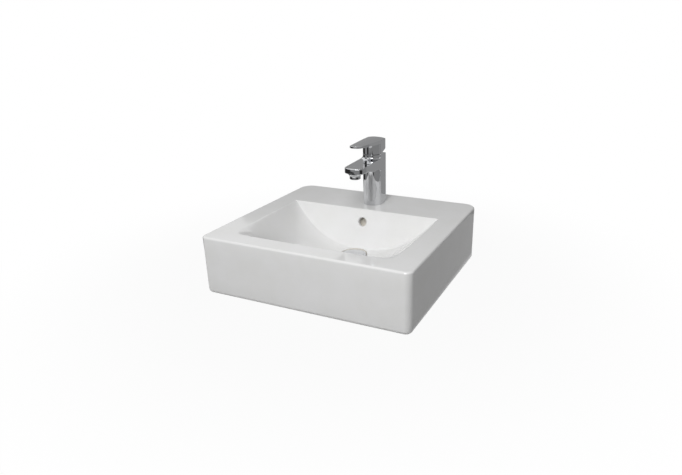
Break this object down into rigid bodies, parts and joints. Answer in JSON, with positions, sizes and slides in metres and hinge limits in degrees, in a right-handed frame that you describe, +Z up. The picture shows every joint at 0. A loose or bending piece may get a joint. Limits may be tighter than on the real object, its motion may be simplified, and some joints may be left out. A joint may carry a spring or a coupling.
{
  "type": "countertop basin",
  "caption": "Rectangular countertop washbasin with a sloping bowl, an overflow, a single-lever mixer tap on its deck and a press-to-close waste.",
  "frame": {"origin": "centre of the underside, on the worktop", "axes": "+X to the right of a person at the basin, +Y towards the tap and the wall behind it, +Z up"},
  "size_m": [0.5, 0.46, 0.3027],
  "materials": {
    "glaze": "gloss",
    "chrome": "polished",
    "rubber": "matt",
    "steel": "satin",
    "brass": "satin",
    "white_plastic": "matt",
    "blue_plastic": "matt",
    "disc_ceramic": "lapped"
  },
  "bodies": {
    "fixed": {"basin": "glaze", "tap_body": "chrome", "tap_base_seal": "rubber", "mounting_stud": "steel", "clamp_gasket": "rubber", "clamp_plate": "steel", "clamp_nut": "brass", "aerator_housing": "chrome", "aerator_insert": "white_plastic", "aerator_washer": "rubber", "cartridge_base": "white_plastic", "port_seals": "rubber", "cartridge_housing": "white_plastic", "fixed_disc": "disc_ceramic", "cartridge_nut": "brass", "dome_cap": "chrome", "waste_body": "chrome", "flange_seal": "rubber", "waste_washer": "rubber", "waste_backnut": "brass", "click_barrel": "white_plastic", "plug_spring": "steel"},
    "swivel": {"swivel_carriage": "blue_plastic", "pivot_pin": "steel"},
    "tilt": {"lever_spindle": "brass", "lever_handle": "chrome", "lever_screw": "steel", "lever_plug": "chrome"},
    "disc": {"moving_disc": "disc_ceramic", "disc_carrier": "blue_plastic"},
    "plug": {"plug_plunger": "white_plastic", "plug_cap": "chrome", "plug_seal": "rubber"}
  },
  "joints": [
    {"name": "lever_swivel", "type": "hinge", "parent": "fixed", "child": "swivel", "pos_m": [0, 0.143, 0.2595], "axis": [0, 0, 1], "range_deg": [-45, 45]},
    {"name": "lever_tilt", "type": "hinge", "parent": "swivel", "child": "tilt", "pos_m": [0, 0.143, 0.2595], "axis": [-1, 0, 0], "range_deg": [0, 18]},
    {"name": "disc_slide", "type": "slide", "parent": "swivel", "child": "disc", "axis": [0, -1, 0], "range_m": [0, 0.0025]},
    {"name": "plug_lift", "type": "slide", "parent": "fixed", "child": "plug", "axis": [0, 0, 1], "range_m": [0, 0.008], "deforming": ["plug_spring"]}
  ],
  "couplings": [
    {"joint": "disc_slide", "follows": "lever_tilt", "m_per_rad": 0.0075}
  ]
}
